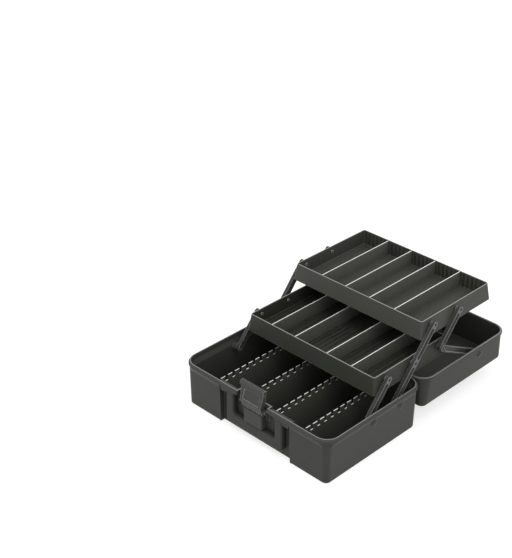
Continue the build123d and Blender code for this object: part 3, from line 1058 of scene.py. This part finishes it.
@dataclass
class Studio:
    """Pale floor, white surround, soft lamps and the camera.

    Attributes:
        lamps: The lamps.
        ambient: Strength of the surround as a light.
        floor_colour: Colour of the floor.
        floor_speckle: Share of that colour that its darker fibres keep.
        floor_fibre: Size of the fibres' patches.
        floor_lift: Brightness that the floor gains as it is seen, and not as a light.
        floor_half: Half the floor's width.
        camera_place: Place of the camera.
        camera_turn: Its Euler angles.
        lens: Its focal length in millimetres.
        sensor: The width of its sensor in millimetres.
        sight: How far it sees.
    """

    lamps: Sequence[Lamp] = (
        Lamp("key_lamp", (1.9, -0.9, 2.3), 6.4),
        Lamp("top_lamp", (0.2, -0.5, 2.8), 11.2),
        Lamp("back_lamp", (-0.9, 1.5, 2.6), 6.4),
    )
    ambient: float = 1.0
    floor_colour: Colour = (0.45, 0.45, 0.45)
    floor_speckle: float = 0.98
    floor_fibre: float = 40 * MM
    floor_lift: float = 0.70
    floor_half: float = 4.0
    camera_place: Place = (1.2449, -1.3503, 1.3363)
    camera_turn: Place = (1.0506, 0.002, 0.788)
    lens: float = 79.07
    sensor: float = 36.0
    sight: float = 20.0

    def build(self) -> None:
        """Make everything on the stage."""
        self.surround()
        self.floor()
        for lamp in self.lamps:
            lamp.build()
        self.camera()
        bpy.context.scene.view_settings.view_transform = "Standard"

    @staticmethod
    def seen(sheet: NodeSheet) -> Term:
        """Tell rays that show the stage as it is seen, directly or in a reflection, from rays that light.

        Args:
            sheet: Sheet of the material or the world.

        Returns:
            1 for the rays that show it and 0 for light.
        """
        ray = sheet.node("ShaderNodeLightPath").outputs
        shown = sheet.math("MAXIMUM", Term(sheet, ray["Is Camera Ray"]), Term(sheet, ray["Is Glossy Ray"]))
        return sheet.math("MAXIMUM", shown, Term(sheet, ray["Is Transmission Ray"]))

    def surround(self) -> None:
        """White world that lights the object at the ambient level."""
        world = bpy.data.worlds.new("surround")
        world.use_nodes = True
        bpy.context.scene.world = world
        sheet = NodeSheet(world.node_tree)
        white = solid((1.0, 1.0, 1.0))
        light = sheet.node("ShaderNodeBackground", {}, {"Color": white, "Strength": self.ambient})
        shown = sheet.node("ShaderNodeBackground", {}, {"Color": white, "Strength": 1.0})
        sockets = {0: self.seen(sheet), 1: light.outputs[0], 2: shown.outputs[0]}
        mixed = sheet.node("ShaderNodeMixShader", {}, sockets)
        sheet.node("ShaderNodeOutputWorld", {}, {"Surface": mixed.outputs[0]})

    def floor(self) -> None:
        """Large pale floor that keeps the object's shadow."""
        half = self.floor_half
        mesh = bpy.data.meshes.new("floor")
        corners = [(-half, -half, 0), (half, -half, 0), (half, half, 0), (-half, half, 0)]
        mesh.from_pydata(corners, [], [(0, 1, 2, 3)])
        floor = bpy.data.objects.new("floor", mesh)
        bpy.context.scene.collection.objects.link(floor)
        material, sheet = new_material("floor_paper")
        place = sheet.node("ShaderNodeTexCoord").outputs["Object"]
        paper = sheet.noise(place, self.floor_fibre, detail=3.0)
        fibre = tuple(self.floor_speckle * c for c in self.floor_colour)
        tone = sheet.mix(paper, solid(self.floor_colour), solid(fibre))
        diffuse = sheet.node("ShaderNodeBsdfDiffuse", {}, {"Color": tone})
        lift = sheet.node("ShaderNodeEmission", {}, {"Strength": self.seen(sheet) * self.floor_lift})
        both = sheet.node("ShaderNodeAddShader", {}, {0: diffuse.outputs[0], 1: lift.outputs[0]})
        sheet.node("ShaderNodeOutputMaterial", {}, {"Surface": both.outputs[0]})
        mesh.materials.append(material)

    def camera(self) -> None:
        """Camera at the photograph's place and angle."""
        data = bpy.data.cameras.new("camera")
        data.lens = self.lens
        data.sensor_width = self.sensor
        data.clip_end = self.sight
        camera = bpy.data.objects.new("camera", data)
        camera.location = self.camera_place
        camera.rotation_euler = self.camera_turn
        bpy.context.scene.collection.objects.link(camera)
        bpy.context.scene.camera = camera


def main() -> None:
    """Build the stage, then each sub-assembly in turn."""
    logging.basicConfig(level=logging.INFO, format="%(name)s: %(message)s")
    Studio().build()
    bars = BarTree()
    Base(bars).build()
    Collars(RingTree()).build()
    # The lower tray is coloured darker than the upper one: painted shade under the upper tray.
    Tray(
        "lower_tray",
        bars,
        colour=(0.041, 0.043, 0.034),
        plate_colour=(0.106, 0.108, 0.093),
        highlit_rail_colour=(0.075, 0.076, 0.065),
    ).build()
    Tray(
        "upper_tray",
        bars,
        colour=(0.065, 0.066, 0.056),
        plate_colour=(0.115, 0.116, 0.103),
        highlit_rail_colour=(0.106, 0.108, 0.095),
    ).build()
    Fittings().build()


if __name__ == "__main__":
    main()
